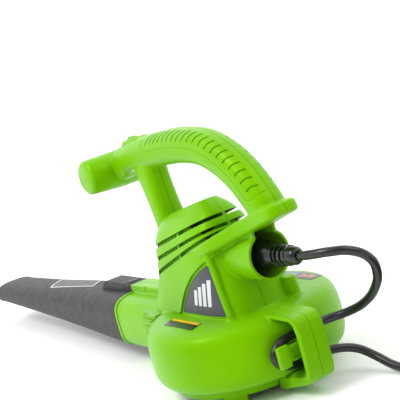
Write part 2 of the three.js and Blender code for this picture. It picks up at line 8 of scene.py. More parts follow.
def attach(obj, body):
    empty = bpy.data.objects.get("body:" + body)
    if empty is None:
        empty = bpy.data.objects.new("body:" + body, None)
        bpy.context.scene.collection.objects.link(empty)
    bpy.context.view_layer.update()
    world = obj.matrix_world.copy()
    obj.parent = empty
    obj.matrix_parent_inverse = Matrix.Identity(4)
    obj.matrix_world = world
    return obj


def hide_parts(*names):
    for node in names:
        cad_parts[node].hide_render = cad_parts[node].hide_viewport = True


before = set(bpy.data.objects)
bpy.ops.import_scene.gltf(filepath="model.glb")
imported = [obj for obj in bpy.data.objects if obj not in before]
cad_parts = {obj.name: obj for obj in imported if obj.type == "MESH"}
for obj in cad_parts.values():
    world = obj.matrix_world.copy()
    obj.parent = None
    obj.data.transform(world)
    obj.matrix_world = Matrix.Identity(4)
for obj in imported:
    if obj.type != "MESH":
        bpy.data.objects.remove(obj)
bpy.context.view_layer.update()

# Camera. A short telephoto looks at the blower from behind on its left side, from a little
# above the fan casing, and leans so that the grip runs down to the right.
AIM = Vector((-0.0045, -0.0094, 0.2126))
CAMERA_REACH = 0.9416
heading, rise, lean = (math.radians(a) for a in (148.98, 7.47, -15.31))
back = Vector((math.sin(heading) * math.cos(rise), -math.cos(heading) * math.cos(rise), math.sin(rise)))
level = (-back).cross(Vector((0, 0, 1))).normalized()
upright = level.cross(-back)
across = level * math.cos(lean) + upright * math.sin(lean)
upward = upright * math.cos(lean) - level * math.sin(lean)
eye = AIM + back * CAMERA_REACH
camera_data = bpy.data.cameras.new("studio_camera")
camera_data.lens = 73.57
camera_data.sensor_width = 36
camera = bpy.data.objects.new("studio_camera", camera_data)
camera.matrix_world = Matrix((
    (across.x, upward.x, back.x, eye.x), (across.y, upward.y, back.y, eye.y),
    (across.z, upward.z, back.z, eye.z), (0, 0, 0, 1),
))
bpy.context.scene.collection.objects.link(camera)
bpy.context.scene.camera = camera

# Extension cord. Fifty feet of three-core cord with a soft PVC jacket runs from the connector,
# over the hook, round the window of the rear bracket and down to the floor, where the spare
# length is wound in one round coil.
MM = 0.001
CORD_DIAMETER = 9.5
COIL_CENTRE = (-168, 300, 31.9)
COIL_RADIUS = 85.5
TURN_PITCH = 9.54
ROW_PITCH = TURN_PITCH * math.sin(math.radians(60))
TURN_STEPS = 20
cord_run = [
    (0, 154.6, 151.3), (-1, 170, 152.6), (-8, 188, 153.6), (-24, 202, 150), (-40, 207, 138), (-52, 200, 119),
    (-58, 185, 99), (-59, 164, 82), (-55, 142, 71.5), (-43, 125, 67), (-24, 118, 66.2), (-4, 117, 66),
    (14, 116.9, 65.6), (28, 116.8, 62), (35, 116.6, 52), (29, 116.8, 41), (15, 116.9, 36.4), (-4, 117, 34.8),
    (-24, 118.2, 33.6), (-44, 121.5, 31), (-61, 131, 25), (-69, 148, 15.5), (-71, 168, 8), (-73, 188, 5.2),
    (-70, 215, 5), (-65, 245, 5), (-60, 280, 5), (-61.2, 312, 5),
]
end_run = [
    (-141.9, 196.7, 5), (-139.4, 184, 5), (-145.5, 172.5, 5), (-159, 166.5, 5), (-180, 164.8, 5.5),
    (-199.7, 164.5, 7),
]


def ease(t):
    t = min(max(t, 0), 1)
    return t * t * (3 - 2 * t)


def on_coil(degrees, radius, height):
    a = math.radians(degrees)
    return (
        COIL_CENTRE[0] + radius * math.cos(a),
        COIL_CENTRE[1] - radius * math.sin(a),
        height,
    )


# Places of the turns across the winding: (steps out from the mid radius, rows up from the middle).
turn_places = [(2 - k, -2) for k in range(5)]
turn_places += [(k - 2.5, -1) for k in range(6)]
turn_places += [(2 - k, 0) for k in range(5)]
turn_places += [(k - 2.5, 1) for k in range(6)]
turn_places += [(1 - k, 2) for k in range(3)]
places = [
    (COIL_RADIUS + out * TURN_PITCH, COIL_CENTRE[2] + row * ROW_PITCH) for out, row in turn_places
]

lead_in = [on_coil(a, r, z) for a, r, z in ((-16, 94, 5.2), (-29, 87, 5.5), (-47, 84.8, 6))]
coil_points = []
for degrees in range(-65, -325, -18):
    coil_points.append(on_coil(degrees, 84.8, 6))
for degrees, radius, height in ((-328, 87, 6), (-342, 96, 8), (-354, 102.5, 12.5)):
    coil_points.append(on_coil(degrees, radius, height))
STEP = 360 / TURN_STEPS
degrees = -368
last_degrees = -360 * len(places) - 124
while degrees > last_degrees:
    turn, left = divmod(-degrees - 360, 360)
    here = places[int(turn)]
    beyond = places[min(int(turn) + 1, len(places) - 1)]
    share = ease((left - 300) / 60)
    coil_points.append(on_coil(
        degrees, here[0] + (beyond[0] - here[0]) * share, here[1] + (beyond[1] - here[1]) * share,
    ))
    degrees -= STEP
tail = degrees
for turned, radius, height in (
    (0, 70, 49.5), (18, 60, 50), (36, 53, 45), (56, 50.5, 35), (76, 50, 24), (96, 49.5, 13), (116, 49, 6.5),
):
    coil_points.append(on_coil(tail - turned, radius, height))
crossing = [(-171.2, 240.9, 5), (-155.4, 218.7, 5)]

cord_data = bpy.data.curves.new("extension_cord", "CURVE")
cord_data.dimensions = "3D"
cord_data.resolution_u = 4
cord_data.bevel_depth = CORD_DIAMETER / 2 * MM
cord_data.bevel_resolution = 5
cord_data.use_fill_caps = True
route = cord_run + lead_in + coil_points + crossing + end_run
line = cord_data.splines.new("BEZIER")
line.bezier_points.add(len(route) - 1)
for knot, place in zip(line.bezier_points, route):
    knot.co = Vector(place) * MM
    knot.handle_left_type = knot.handle_right_type = "AUTO"
extension_cord = bpy.data.objects.new("extension_cord", cord_data)
bpy.context.scene.collection.objects.link(extension_cord)


def linear(colour):
    """An sRGB hex colour as linear red, green, blue and alpha."""
    parts = [int(colour[k:k + 2], 16) / 255 for k in (1, 3, 5)]
    return [p / 12.92 if p <= 0.04045 else ((p + 0.055) / 1.055) ** 2.4 for p in parts] + [1]


def add_node(material, kind, inputs, **settings):
    """A node with its settings and its inputs; an input is a value or the socket that feeds it."""
    made = material.node_tree.nodes.new(kind)
    for key, value in settings.items():
        setattr(made, key, value)
    for key, value in inputs.items():
        if isinstance(value, bpy.types.NodeSocket):
            material.node_tree.links.new(value, made.inputs[key])
        else:
            made.inputs[key].default_value = value
    return made


def moulded(name, deep, face, gloss, grain, relief, ior=1.53, metallic=0, tint="#FFFFFF"):
    """Two close tints that drift, an uneven roughness and a fine grain; metallic 1 is a bare metal.

    gloss is the lowest and highest roughness, grain and relief are in millimetres.
    """
    material = bpy.data.materials.new(name)
    material.use_nodes = True
    shader = material.node_tree.nodes["Principled BSDF"]
    shader.inputs["IOR"].default_value = ior
    shader.inputs["Metallic"].default_value = metallic
    shader.inputs["Specular Tint"].default_value = linear(tint)
    place = add_node(material, "ShaderNodeTexCoord", {}).outputs["Object"]
    drift = add_node(material, "ShaderNodeTexNoise", {"Vector": place, "Scale": 14, "Detail": 3})
    ramp = add_node(material, "ShaderNodeValToRGB", {"Fac": drift.outputs["Fac"]})
    ramp.color_ramp.elements[0].position = 0.3
    ramp.color_ramp.elements[1].position = 0.7
    ramp.color_ramp.elements[0].color = linear(deep)
    ramp.color_ramp.elements[1].color = linear(face)
    wear = add_node(material, "ShaderNodeTexNoise", {"Vector": place, "Scale": 90, "Detail": 4})
    rough = add_node(material, "ShaderNodeMapRange", {
        "Value": wear.outputs["Fac"], "From Min": 0.3, "From Max": 0.7, "To Min": gloss[0], "To Max": gloss[1],
    })
    skin = add_node(material, "ShaderNodeTexNoise", {"Vector": place, "Scale": 1000 / grain, "Detail": 2})
    bump = add_node(material, "ShaderNodeBump", {
        "Height": skin.outputs["Fac"], "Strength": 1, "Distance": relief * MM,
    })
    links = material.node_tree.links
    links.new(ramp.outputs["Color"], shader.inputs["Base Color"])
    links.new(rough.outputs["Result"], shader.inputs["Roughness"])
    links.new(bump.outputs["Normal"], shader.inputs["Normal"])
    return material


# Extruded PVC, black and slightly waxy: a smooth gloss with faint drag marks of the die.
pvc_jacket = moulded("extruded_pvc_jacket", "#0B0B0C", "#141416", (0.26, 0.4), 3, 0.03, 1.52)
cord_data.materials.append(pvc_jacket)
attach(extension_cord, "root")
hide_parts("cord_tube", "cord_coil", "cord_end")


# Housing. Two half shells of lime-green ABS, injection moulded and screwed together along the
# middle: grip, cross knob, front strut, motor tower with its louvres, fan casing and duct in one.
SEAM = 0.25
WALL = 2.5
KNOB = (-180.5, 262.8, 24.3, 50)
SHROUD_HEIGHT = 151.3
DUCT_MOUTH = -216
DUCT_HEIGHT, DUCT_HALF, DUCT_RISE = 57.7, 48, 34.6
RIDGE_TOP = 102.3
handle_rows = [
    (-172, 262.8, 0, 1, 17, 17), (-154, 269.5, -0.1, 0.995, 20.4, 17.5), (-134, 274.2, 0, 1, 17.2, 17.8),
    (-110, 277, 0, 1, 19, 18.5), (-75, 278.6, 0, 1, 20, 19), (-40, 279.6, 0, 1, 20.3, 19),
    (-5, 279.2, 0.04, 0.999, 20.2, 19), (38.6, 272.8, 0.316, 0.949, 20.2, 19),
    (71.2, 257.6, 0.583, 0.813, 20.2, 19), (96.9, 236.7, 0.763, 0.646, 19.8, 19),
    (117.5, 209.4, 0.894, 0.447, 19.2, 19), (125.5, 193.4, 0.93, 0.37, 18.4, 18.6),
]
strut_rows = [
    (-95, 274, 24, 16.5), (-94.5, 256, 20.5, 16.8), (-89.8, 232, 17.2, 17), (-82.8, 204, 15.6, 17.6),
    (-77.5, 184, 15.5, 19), (-72, 160, 15.5, 22),
]
tower_rows = [
    (-122, 70, 82, 70, 48, 4.5), (-116, 95, 74, 91, 46.8, 4.5), (-99, 117, 66.5, 121, 44.8, 4),
    (-88.5, 150, 56.5, 152, 42.3, 4), (-87, 164, 50.5, 174, 40.5, 3.8), (-85, 176, 46, 186, 37.6, 3.6),
    (-80, 187, 41, 197, 32.5, 3.4), (-71, 195.5, 33, 207, 26, 3.2), (-61, 200, 19, 216.4, 18, 3),
]
spiral = [
    (-30, 104), (0, 105.5), (45, 108), (88, 110.6), (115, 116.5), (140, 124), (170, 128.5), (200, 129.5),
    (225, 126), (250, 114), (275, 104), (330, 104),
]
volute_rows = [
    (20.6, 10), (24, 5), (33, 1), (50, 0), (66, 0.5), (77, 3), (84.5, 8), (88.5, 17), (90.5, 34),
]
rail_rows = [
    (20, 160.5, 42.5, 8), (48, 170.5, 40.5, 8.2), (70, 178, 31.5, 8.4), (90, 185, 24.5, 8.6),
    (110, 191, 21.2, 8.6), (130, 196.8, 20.2, 8.2), (143, 200.4, 19.3, 7.6), (149, 202, 16.5, 6.6),
    (152, 202.8, 11, 4.5),
]
UP_THE_RAIL = Vector((0, -0.318, 0.948))
ACROSS, ALONG, UP = Vector((1, 0, 0)), Vector((0, 1, 0)), Vector((0, 0, 1))


def smoothed(rows, steps):
    """More rows on smooth curves through the given ones."""
    spots = [0]
    for a, b in zip(rows, rows[1:]):
        spots.append(spots[-1] + math.hypot(b[0] - a[0], b[1] - a[1]))
    slopes = []
    last = len(rows) - 1
    for k in range(len(rows)):
        low, high = max(k - 1, 0), min(k + 1, last)
        slopes.append([(q - p) / (spots[high] - spots[low]) for p, q in zip(rows[low], rows[high])])
    made = []
    for k in range(last):
        span = spots[k + 1] - spots[k]
        for step in range(steps + (k == last - 1)):
            t = step / steps
            h = (2 * t ** 3 - 3 * t ** 2 + 1, t ** 3 - 2 * t ** 2 + t, 3 * t ** 2 - 2 * t ** 3, t ** 3 - t ** 2)
            made.append([
                h[0] * p + h[1] * span * m + h[2] * q + h[3] * span * n
                for p, m, q, n in zip(rows[k], slopes[k], rows[k + 1], slopes[k + 1])
            ])
    return made


def ring(bm, centre, u, v, a, b, power, count=56):
    """A closed loop of edges, from round at power 2 to nearly square at power 5."""
    made = bmesh.ops.create_circle(bm, segments=count, radius=1)["verts"]
    for vert in made:
        c, s = vert.co.x, vert.co.y
        p = math.copysign(abs(c) ** (2 / power), c) * a
        q = math.copysign(abs(s) ** (2 / power), s) * b
        vert.co = (Vector(centre) + u * p + v * q) * MM
    return list({edge for vert in made for edge in vert.link_edges})


def close_over(bm, rings):
    """Skin over a row of rings, with both ends closed."""
    for lower, upper in zip(rings, rings[1:]):
        bmesh.ops.bridge_loops(bm, edges=lower + upper)
    bmesh.ops.holes_fill(bm, edges=rings[0] + rings[-1], sides=0)


def plate(bm, outline, x0, x1, rounding=0):
    """A flat plate with a (y, z) outline, its corners rounded, between two values of x."""
    before = set(bm.faces)
    verts = [bm.verts.new((x0 * MM, y * MM, z * MM)) for y, z in outline]
    bm.faces.new(verts)
    if rounding:
        bmesh.ops.bevel(
            bm, geom=verts, offset=rounding * MM, offset_type="OFFSET", affect="VERTICES", segments=5,
            profile=0.5, material=-1,
        )
    face = max((f for f in bm.faces if f not in before), key=lambda f: len(f.verts))
    grown = bmesh.ops.extrude_face_region(bm, geom=[face])["geom"]
    moved = [part for part in grown if isinstance(part, bmesh.types.BMVert)]
    bmesh.ops.translate(bm, verts=moved, vec=((x1 - x0) * MM, 0, 0))


def bar(bm, x0, x1, y0, y1, z0, z1):
    """A square-edged block between its low and high sides."""
    cube = bmesh.ops.create_cube(bm, size=1)["verts"]
    bmesh.ops.scale(bm, verts=cube, vec=((x1 - x0) * MM, (y1 - y0) * MM, (z1 - z0) * MM))
    centre = Vector((x0 + x1, y0 + y1, z0 + z1)) * (MM / 2)
    bmesh.ops.translate(bm, verts=cube, vec=centre)


def rod(bm, start, end, radius, far_radius=None, sides=48):
    """A round bar between two points, tapered where the far radius differs."""
    start, end = Vector(start), Vector(end)
    turn = (end - start).to_track_quat("Z", "Y").to_matrix().to_4x4()
    middle = Matrix.Translation((start + end) / 2 * MM)
    bmesh.ops.create_cone(
        bm, cap_ends=True, segments=sides, radius1=radius * MM,
        radius2=(radius if far_radius is None else far_radius) * MM, depth=(end - start).length * MM,
        matrix=middle @ turn,
    )


def handle_form(bm, inset, steps=5):
    rows = smoothed(handle_rows, steps)
    for row in rows[-2:] if inset else ():
        row[0] -= inset * row[3]
    close_over(bm, [
        ring(bm, (0, y, z), ACROSS, Vector((0, ny, nz)), w - inset, h - inset, 2.5)
        for y, z, ny, nz, h, w in rows
    ])


def knob_form(bm, inset):
    y, z, radius, half = KNOB
    r, end = radius - inset, half - inset
    rows = [
        (-end, r - 5.4), (-end + 0.4, r - 4.8), (-end + 2.6, r - 2.6), (-end + 3.6, r - 2.1), (-end / 2, r - 1),
        (0, r), (end / 2, r - 1), (end - 3.6, r - 2.1), (end - 2.6, r - 2.6), (end - 0.4, r - 4.8), (end, r - 5.4),
    ]
    close_over(bm, [ring(bm, (x, y, z), ALONG, UP, reach, reach, 2) for x, reach in rows])


def strut_form(bm, inset):
    close_over(bm, [
        ring(bm, (0, y, z), ACROSS, ALONG, w - inset, d - inset, 3)
        for y, z, d, w in smoothed(strut_rows, 5)
    ])


def tower_form(bm, inset):
    rings = []
    for front, low, rear, high, width, power in smoothed(tower_rows, 4):
        along = Vector((0, rear - front, high - low))
        rings.append(ring(
            bm, (0, (front + rear) / 2, (low + high) / 2), ACROSS, along.normalized(), width - inset,
            along.length / 2 - inset, power, 96,
        ))
    close_over(bm, rings)


def spiral_radius(degrees):
    """Radius of the fan casing, which grows from the left round the rear to the right."""
    a = (degrees + 30) % 360 - 30
    rows = spiral_rows
    for low, high in zip(rows, rows[1:]):
        if low[0] <= a <= high[0]:
            return low[1] + (high[1] - low[1]) * (a - low[0]) / max(high[0] - low[0], 1e-9)
    return rows[-1][1]


spiral_rows = smoothed(spiral, 6)


def volute_form(bm, inset, count=160):
    rings = []
    for z, step in smoothed(volute_rows, 4):
        edges = ring(bm, (0, 0, 0), ACROSS, ALONG, 1, 1, 2, count)
        for vert in {v for e in edges for v in e.verts}:
            a = math.atan2(vert.co.y, vert.co.x)
            r = spiral_radius(math.degrees(a)) - step - inset
            height = z - inset if z > 60 else z + (inset if z < 21 else 0)
            vert.co = Vector((r * math.cos(a), r * math.sin(a), height)) * MM
        rings.append(edges)
    close_over(bm, rings)


def duct_form(bm, inset, front, rear, count=72):
    close_over(bm, [
        ring(bm, (0, y, DUCT_HEIGHT), ACROSS, UP, DUCT_HALF - inset, DUCT_RISE - inset, 4, count)
        for y in (front, rear)
    ])


def as_object(name, bm):
    """Makes the mesh object of a finished bmesh, with its faces turned outward."""
    bmesh.ops.recalc_face_normals(bm, faces=bm.faces)
    mesh = bpy.data.meshes.new(name)
    bm.to_mesh(mesh)
    bm.free()
    made = bpy.data.objects.new(name, mesh)
    bpy.context.scene.collection.objects.link(made)
    return made


def settle(made):
    """Applies the modifiers of a piece to its mesh."""
    made.data.update()
    bpy.context.view_layer.update()
    shown = made.evaluated_get(bpy.context.evaluated_depsgraph_get())
    mesh = bpy.data.meshes.new_from_object(shown)
    made.modifiers.clear()
    old = made.data
    made.data = mesh
    bpy.data.meshes.remove(old)
    mesh.name = made.name
    return made


def carve(made, how, *shapes):
    """Cuts, joins or keeps shapes one after another; a shape is a function that fills a bmesh."""
    for shape in shapes:
        bm = bmesh.new()
        shape(bm)
        tool = as_object("tool", bm)
        fit = made.modifiers.new("fit", "BOOLEAN")
        fit.operation = how
        fit.solver = "MANIFOLD"
        fit.object = tool
        settle(made)
        bpy.data.objects.remove(tool)
    return made


def soften(made, angle=35):
    """Smooth shading, with a crisp line wherever two faces meet at more than the angle."""
    bm = bmesh.new()
    bm.from_mesh(made.data)
    for face in bm.faces:
        face.smooth = True
    for edge in bm.edges:
        edge.smooth = len(edge.link_faces) == 2 and edge.calc_face_angle(0) < math.radians(angle)
    bm.to_mesh(made.data)
    bm.free()
    return made


def finish(made, material, body, slot, *nodes):
    """Gives a piece its material, the body that it moves with and the CAD nodes it stands for."""
    made.data.materials.clear()
    made.data.materials.append(material)
    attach(made, body)
    if nodes:
        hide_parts(*nodes)
    return made


band_outline = [
    (60, 177), (48, 178.5), (20, 165.5), (-20, 150.5), (-60, 138), (-80, 118), (-72, 96), (-30, 92),
    (-22, 104), (-8, 122), (12, 139), (36, 153), (62, 163),
]
bracket_outline = [
    (68, 90.5), (128, 89.4), (136.5, 87.4), (141, 81.5), (143.2, 70), (143.4, 28), (141.8, 21.5),
    (137.5, 17.4), (96, 5.4), (84, 4.2), (84, 21), (70, 30),
]
window_outline = [
    (90, 82.3), (127, 82), (131.5, 79), (133.6, 70), (134, 33), (132, 29.2), (128, 27.4), (90, 20.6),
]
pad_outline = [(-137, 285), (-136.5, 292.5), (-132, 296.6), (-101, 299.6), (-96, 297.5), (-96, 285)]
badge_outline = [(46.5, 152), (61.5, 93.5), (-25.5, 93.5), (-16, 107), (-2, 123), (14, 136), (30, 145.5)]
slot_outlines = [
    [(-84, 161.4), (44, 196.6), (54, 198), (54, 201), (42, 200.4), (-82, 167.3)],
    [(-84, 146), (44, 184.8), (54, 186), (54, 189.6), (44, 188.8), (-82, 151.9)],
    [(-84, 129.4), (46, 178), (54, 179.6), (54, 183.4), (46, 182.4), (-82, 135.6)],
]
screw_places = [
    (-40, 279.5, -15.5), (88, 244.5, -15.5), (-94, 222, -13), (-76, 138, -37.5), (44.5, 175.5, -34),
    (-186.5, 14.6, -6), (-104.5, 14.6, -6), (138.6, 50, -13.5),
]


def channel(bm, points, radius, sides=8):
    """A round bar along a row of points."""
    rings = []
    for k, here in enumerate(points):
        way = (points[min(k + 1, len(points) - 1)] - points[max(k - 1, 0)]).normalized()
        u = way.orthogonal().normalized() if k == 0 else (u - way * u.dot(way)).normalized()
        rings.append(ring(bm, here, u, way.cross(u), radius, radius, 2, sides))
    close_over(bm, rings)


def spread(outline, share):
    """An outline grown about its middle."""
    y0 = sum(y for y, z in outline) / len(outline)
    z0 = sum(z for y, z in outline) / len(outline)
    return [(y0 + (y - y0) * share, z0 + (z - z0) * share) for y, z in outline]


def on_tower(outline, outset, rounding):
    """The part of a swollen tower that lies inside a side outline, as a shape to join or cut."""
    def shape(bm):
        tower_form(bm, -outset)
        lump = as_object("lump", bm.copy())
        carve(lump, "INTERSECT", lambda other: plate(other, outline, -60, 60, rounding))
        bm.clear()
        bm.from_mesh(lump.data)
        bpy.data.objects.remove(lump)
    return shape


outer = bmesh.new()
handle_form(outer, 0)
knob_form(outer, 0)
strut_form(outer, 0)
tower_form(outer, 0)
volute_form(outer, 0)
duct_form(outer, 0, DUCT_MOUTH, -60)
close_over(outer, [
    ring(outer, (0, y, z), ACROSS, UP_THE_RAIL, w, h, 6) for y, z, w, h in smoothed(rail_rows, 4)
])
rod(outer, (0, 40, SHROUD_HEIGHT), (0, 105, SHROUD_HEIGHT), 26.9, sides=96)
plate(outer, [(45, 158), (105, 158), (105, 184), (45, 168)], -15.5, 15.5)
rod(outer, (-41, 67, 84), (-41, 69, 112), 12, 8.5)
for side in (1, -1):
    corner = [(36, 42, 160), (37.8, 49.5, 142), (38.8, 53.5, 124), (40, 60.5, 100), (40, 63, 88)]
    channel(outer, [Vector((side * x, y, z)) for x, y, z in corner], 4.4, 20)
plate(outer, pad_outline, -10.5, 10.5)
plate(outer, bracket_outline, -17, 17, 2)
bar(outer, -8, 21, 100, 123, 42, 60)
bar(outer, -14, 14, -210, -90, 80, RIDGE_TOP)
for y, near in ((-186.5, 26), (-104.5, 27)):
    rod(outer, (-6, y, 14.6), (6, y, 14.6), 7.4)
    bar(outer, -6, 6, y - 7.4, y + 7.4, 14.6, near)
housing = as_object("housing", outer)
remesh = housing.modifiers.new("remesh", "REMESH")
remesh.mode = "VOXEL"
remesh.voxel_size = 1.35 * MM
relax = housing.modifiers.new("relax", "SMOOTH")
relax.factor = 0.5
relax.iterations = 4
settle(housing)


def hook_neck(bm):
    bar(bm, -14, 27, 120.6, 126.4, 43, 60)
    bmesh.ops.bevel(bm, geom=bm.edges, offset=1.2 * MM, affect="EDGES", segments=3, profile=0.5, material=-1)


def hook_lip(bm):
    bar(bm, 22, 36.5, 121.6, 127.6, 39.5, 63)
    bmesh.ops.bevel(bm, geom=bm.edges, offset=1.5 * MM, affect="EDGES", segments=3, profile=0.5, material=-1)


def side_fins(bm):
    for k in range(6):
        bar(bm, -56, 56, -106, -84, 34 + 10 * k, 35.8 + 10 * k)
        bar(bm, -49.6, 49.6, -134, -106, 34 + 10 * k, 35.8 + 10 * k)


# Crisp edges that the moulded blend keeps: the ends of the knob, the rims of the shroud and the
# duct, the tower's band, the badge surround, the duct's ridge and the side fins.
carve(
    housing, "UNION",
    lambda bm: knob_form(bm, -0.12),
    lambda bm: rod(bm, (0, 80, SHROUD_HEIGHT), (0, 105.2, SHROUD_HEIGHT), 27, sides=96),
    lambda bm: plate(bm, [(80, 160), (105.2, 160), (105.2, 184.3), (80, 177)], -15.6, 15.6, 0),
    on_tower(band_outline, 2.6, 3),
    on_tower(spread(badge_outline, 1.045), 0.9, 5),
    lambda bm: duct_form(bm, -1.2, DUCT_MOUTH, DUCT_MOUTH + 4.5),
    lambda bm: bar(bm, -14.4, 14.4, DUCT_MOUTH, DUCT_MOUTH + 40, 84, RIDGE_TOP),
    side_fins,
)

# The wall is thick beside the louvres, so that their slots can be blind, and thin elsewhere.
for form in (handle_form, knob_form, strut_form, volute_form):
    carve(housing, "DIFFERENCE", lambda bm, form=form: form(bm, WALL))
carve(housing, "DIFFERENCE", lambda bm: tower_form(bm, 9.3))
for box in ((-60, 60, -140, 90, 60, 118), (-26, 26, -140, 36, 110, 230)):
    room = bmesh.new()
    tower_form(room, WALL)
    room = carve(as_object("room", room), "INTERSECT", lambda bm: bar(bm, *box))
    carve(housing, "DIFFERENCE", lambda bm: bm.from_mesh(room.data))
    bpy.data.objects.remove(room)


def slot_cut(outline, depth, gaps_along=()):
    """A louvre slot down to a depth below the tower's skin, only in the given ranges of y if any."""
    def shape(bm):
        slot = bmesh.new()
        plate(slot, outline, -60, -1.3)
        plate(slot, outline, 1.3, 60)
        slot = carve(as_object("slot", slot), "DIFFERENCE", lambda other: tower_form(other, depth))
        if gaps_along:
            gaps = bmesh.new()
            for start, end in gaps_along:
                bar(gaps, -60, 60, start, end, 100, 230)
            gaps = as_object("gaps", gaps)
            carve(slot, "INTERSECT", lambda other: other.from_mesh(gaps.data))
            bpy.data.objects.remove(gaps)
        bm.from_mesh(slot.data)
        bpy.data.objects.remove(slot)
    return shape


fin_gaps = [(-80 + 5.4 * k, -80 + 5.4 * k + 3.9) for k in range(12)]
carve(
    housing, "DIFFERENCE",
    *[slot_cut(outline, 3.2) for outline in slot_outlines],
    *[slot_cut(outline, 8.6, fin_gaps + [(-12, 44)]) for outline in slot_outlines],
    lambda bm: duct_form(bm, WALL, DUCT_MOUTH - 4, -62),
    lambda bm: bar(bm, -11.5, 11.5, -217, -95, 80, 98.5),
    lambda bm: rod(bm, (0, 62, SHROUD_HEIGHT), (0, 106, SHROUD_HEIGHT), 24.2, sides=96),
    lambda bm: rod(bm, (0, 44, SHROUD_HEIGHT), (0, 63, SHROUD_HEIGHT), 18.3),
    lambda bm: plate(bm, [(66, 160), (107, 160), (107, 181), (90, 176), (66, 168)], -12.6, 12.6),
    lambda bm: rod(bm, (0, 0, 18), (0, 0, 27), 84, sides=96),
    lambda bm: bar(bm, -5.3, 5.3, -131, -105, 280, 303),
)


def without_casing(shape):
    """A cut that spares the fan casing."""
    def spared(bm):
        shape(bm)
        tool = carve(as_object("spared", bm.copy()), "DIFFERENCE", lambda other: volute_form(other, 0))
        bm.clear()
        bm.from_mesh(tool.data)
        bpy.data.objects.remove(tool)
    return spared


def window_bevel(side):
    """A cutter that opens out towards the side face of the bracket."""
    def shape(bm):
        plate(bm, window_outline, side * 11, side * 17.6, 1.5)
        middle = Vector((0, 112, 52)) * MM
        for vert in bm.verts:
            if abs(vert.co.x) > 0.015:
                vert.co.y = middle.y + (vert.co.y - middle.y) * 1.2
                vert.co.z = middle.z + (vert.co.z - middle.z) * 1.13
    return shape


carve(
    housing, "DIFFERENCE",
    without_casing(lambda bm: plate(bm, window_outline, -30, 30, 1.5)),
    without_casing(window_bevel(1)), without_casing(window_bevel(-1)),
)
carve(housing, "UNION", lambda bm: bar(bm, -7, 20, 104, 124, 43.4, 58.6), hook_neck, hook_lip)
carve(housing, "DIFFERENCE", lambda bm: plate(bm, [(124.8, 46), (124.8, 57), (130, 57), (130, 46)], -10, 19))

bed = bmesh.new()
plate(bed, badge_outline, -60, 60, 4)
bed = carve(as_object("bed", bed), "DIFFERENCE", lambda bm: tower_form(bm, 0.9))
carve(housing, "DIFFERENCE", lambda bm: bm.from_mesh(bed.data))
bpy.data.objects.remove(bed)
for y, z, head in screw_places:
    carve(
        housing, "DIFFERENCE", lambda bm: rod(bm, (-70, y, z), (head, y, z), 3.7, sides=32),
        lambda bm: rod(bm, (head - 1, y, z), (head + 19, y, z), 2.1, sides=24),
    )

# The grip is ribbed by curved grooves down both sides, inside one fine outline.
handle_curve = smoothed(handle_rows, 12)
run = [0]
for a, b in zip(handle_curve, handle_curve[1:]):
    run.append(run[-1] + math.hypot(b[0] - a[0], b[1] - a[1]))


def on_handle(length, angle):
    """A point of the grip's skin: a length along the rows, and an angle up from the side."""
    k = next((k for k, reach in enumerate(run[1:]) if length <= reach), len(run) - 2)
    t = (length - run[k]) / (run[k + 1] - run[k])
    y, z, ny, nz, h, w = (a + (b - a) * t for a, b in zip(handle_curve[k], handle_curve[k + 1]))
    c, d = math.cos(math.radians(angle)), math.sin(math.radians(angle))
    p = math.copysign(abs(c) ** 0.8, c) * w
    q = math.copysign(abs(d) ** 0.8, d) * h
    return Vector((p, y + ny * q, z + nz * q))


GROOVES = 20
first = run[next(k for k, row in enumerate(handle_curve) if row[0] > -50)]
last = run[next(k for k, row in enumerate(handle_curve) if row[0] > 110)]


def grip_grooves(bm):
    for k in range(GROOVES):
        share = k / (GROOVES - 1)
        here = first + (last - first) * share
        slant = 12 * (1 - share) + 1
        for side in (1, -1):
            points = []
            for step in range(11):
                t = step / 10
                p = on_handle(here - slant * t - math.sin(math.pi * t), 70 - 48 * t)
                points.append(Vector((p.x * side * 0.97, p.y, p.z - 0.4)))
            channel(bm, points, 1.05)


def outline_groove(bm):
    way = [(last + 8, angle) for angle in range(86, 8, -8)]
    way += [(last + 5 - 5 * k, 3) for k in range(41) if last + 5 - 5 * k > first - 20]
    way += [(first - 24, angle) for angle in range(8, 86, 8)]
    for side in (1, -1):
        points = [on_handle(length, angle) for length, angle in way]
        channel(bm, [Vector((p.x * side, p.y, p.z)) for p in points], 0.5, 6)


carve(housing, "DIFFERENCE", grip_grooves, outline_groove)

# Lime ABS straight from the mould: a satin face with a little drift in its gloss.
green_abs = moulded("moulded_lime_abs", "#67A900", "#70B300", (0.3, 0.4), 1.6, 0.006, 1.44, 0, "#B4E040")
for name, side, node in (("left_shell", 1, "left_housing"), ("right_shell", -1, "right_housing")):
    half = bpy.data.objects.new(name, housing.data.copy())
    bpy.context.scene.collection.objects.link(half)
    carve(half, "INTERSECT", lambda bm: bar(
        bm, *(sorted((side * SEAM, side * 200))), -400, 300, -10, 400,
    ))
    soften(half)
    finish(half, green_abs, "root", "green_shell", node)
bpy.data.objects.remove(housing)

